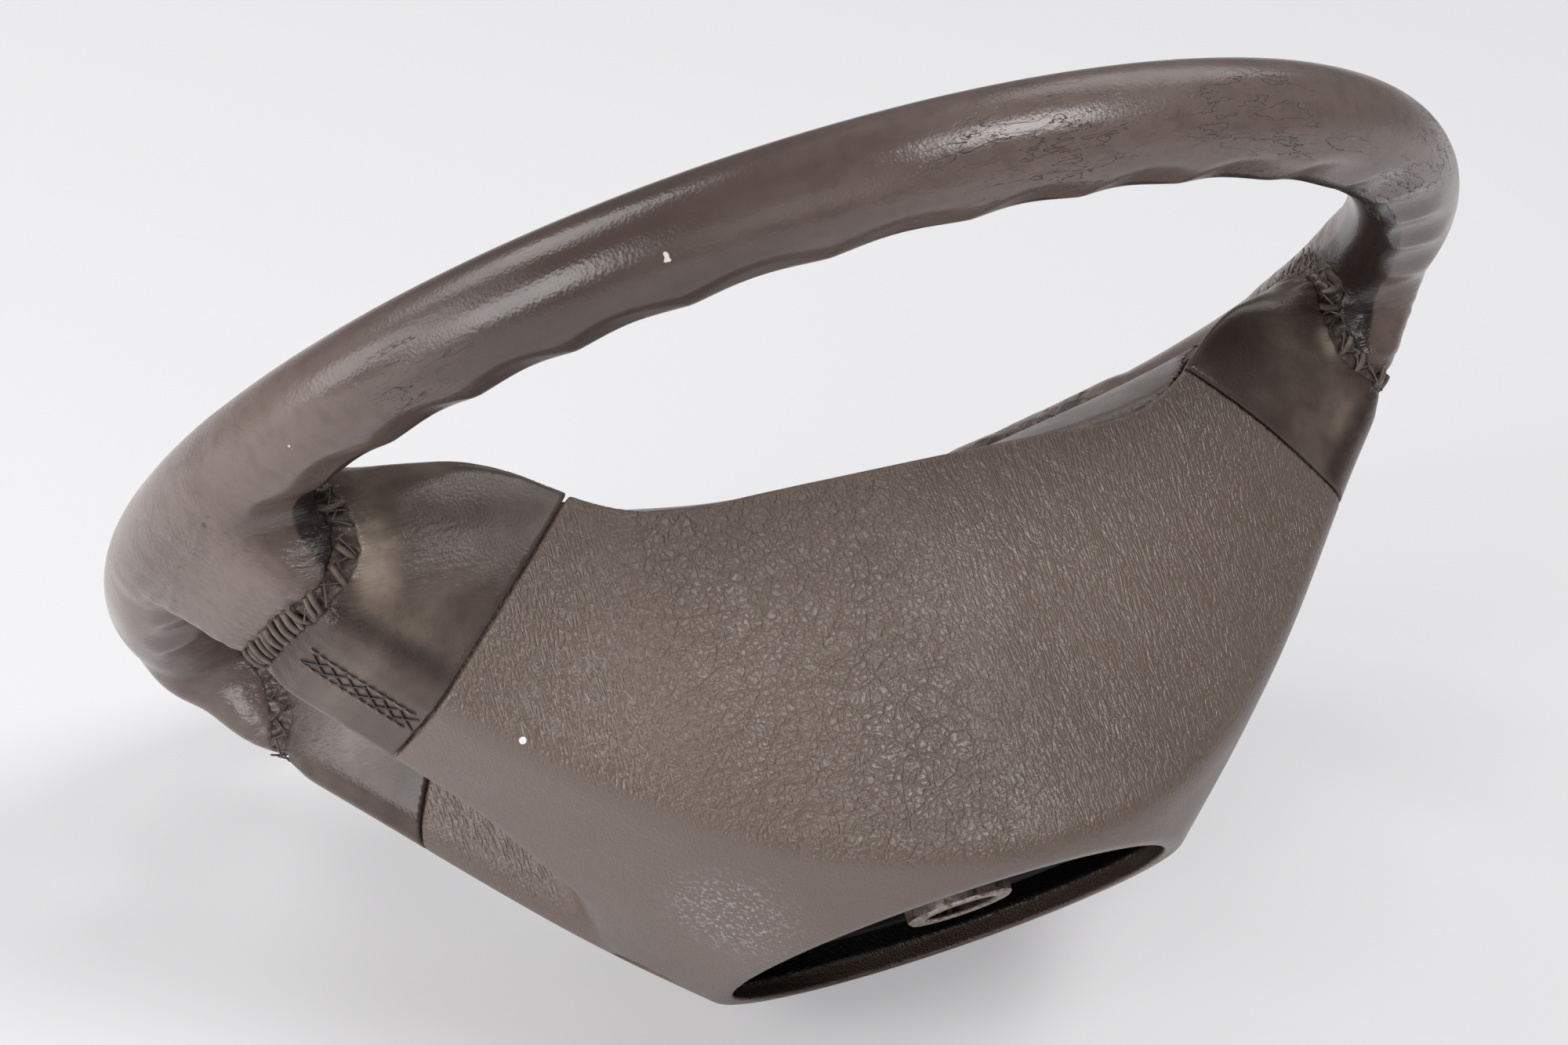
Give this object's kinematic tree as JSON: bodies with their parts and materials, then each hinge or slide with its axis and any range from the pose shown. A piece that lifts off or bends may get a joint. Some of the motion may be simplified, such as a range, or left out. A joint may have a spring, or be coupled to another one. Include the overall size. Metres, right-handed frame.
{
  "type": "car steering wheel",
  "caption": "Worn leather-wrapped car steering wheel with a deep moulded hub, leather-sleeved spokes sewn to a round rim, a steel column boss and a sprung horn pad.",
  "frame": {"origin": "centre of the steel boss's rear mouth, on the column axis", "axes": "+Z along the column axis towards the driver, +Y towards 12 o'clock on the rim, +X to the driver's right"},
  "size_m": [0.4008, 0.4008, 0.1674],
  "materials": {
    "boss_steel": "bare, rusty",
    "frame_alloy": "cast",
    "ring_steel": "bare",
    "moulded_skin": "grained satin",
    "rim_leather": "worn, cracked, satin",
    "sleeve_leather": "worn satin",
    "black_plastic": "satin",
    "contact_brass": "bare",
    "pad_skin": "grained satin",
    "plate_steel": "zinc plated",
    "fixing_steel": "zinc plated",
    "spring_steel": "bare"
  },
  "bodies": {
    "wheel": {"hub_boss": "boss_steel", "spoke_frame": "frame_alloy", "rim_ring": "ring_steel", "moulded_body": "moulded_skin", "rim_leather": "rim_leather", "upper_sleeve_right": "sleeve_leather", "upper_sleeve_left": "sleeve_leather", "lower_sleeve_right": "sleeve_leather", "lower_sleeve_left": "sleeve_leather", "carrier_skirt": "black_plastic", "contact_carrier": "black_plastic", "contact_ring": "contact_brass", "screw_spring_right": "spring_steel", "screw_spring_left": "spring_steel", "pin_spring_right": "spring_steel", "pin_spring_left": "spring_steel"},
    "pad": {"horn_pad": "pad_skin", "pad_plate": "plate_steel", "pad_screw_right": "fixing_steel", "pad_screw_left": "fixing_steel", "pad_pin_right": "fixing_steel", "pad_pin_left": "fixing_steel"}
  },
  "joints": [
    {"name": "horn_press", "type": "slide", "parent": "wheel", "child": "pad", "axis": [0, 0, -1], "range_m": [0, 0.0012], "stiffness_N_per_m": 8000, "springref_m": -0.003, "deforming": ["screw_spring_right", "screw_spring_left", "pin_spring_right", "pin_spring_left"]}
  ]
}
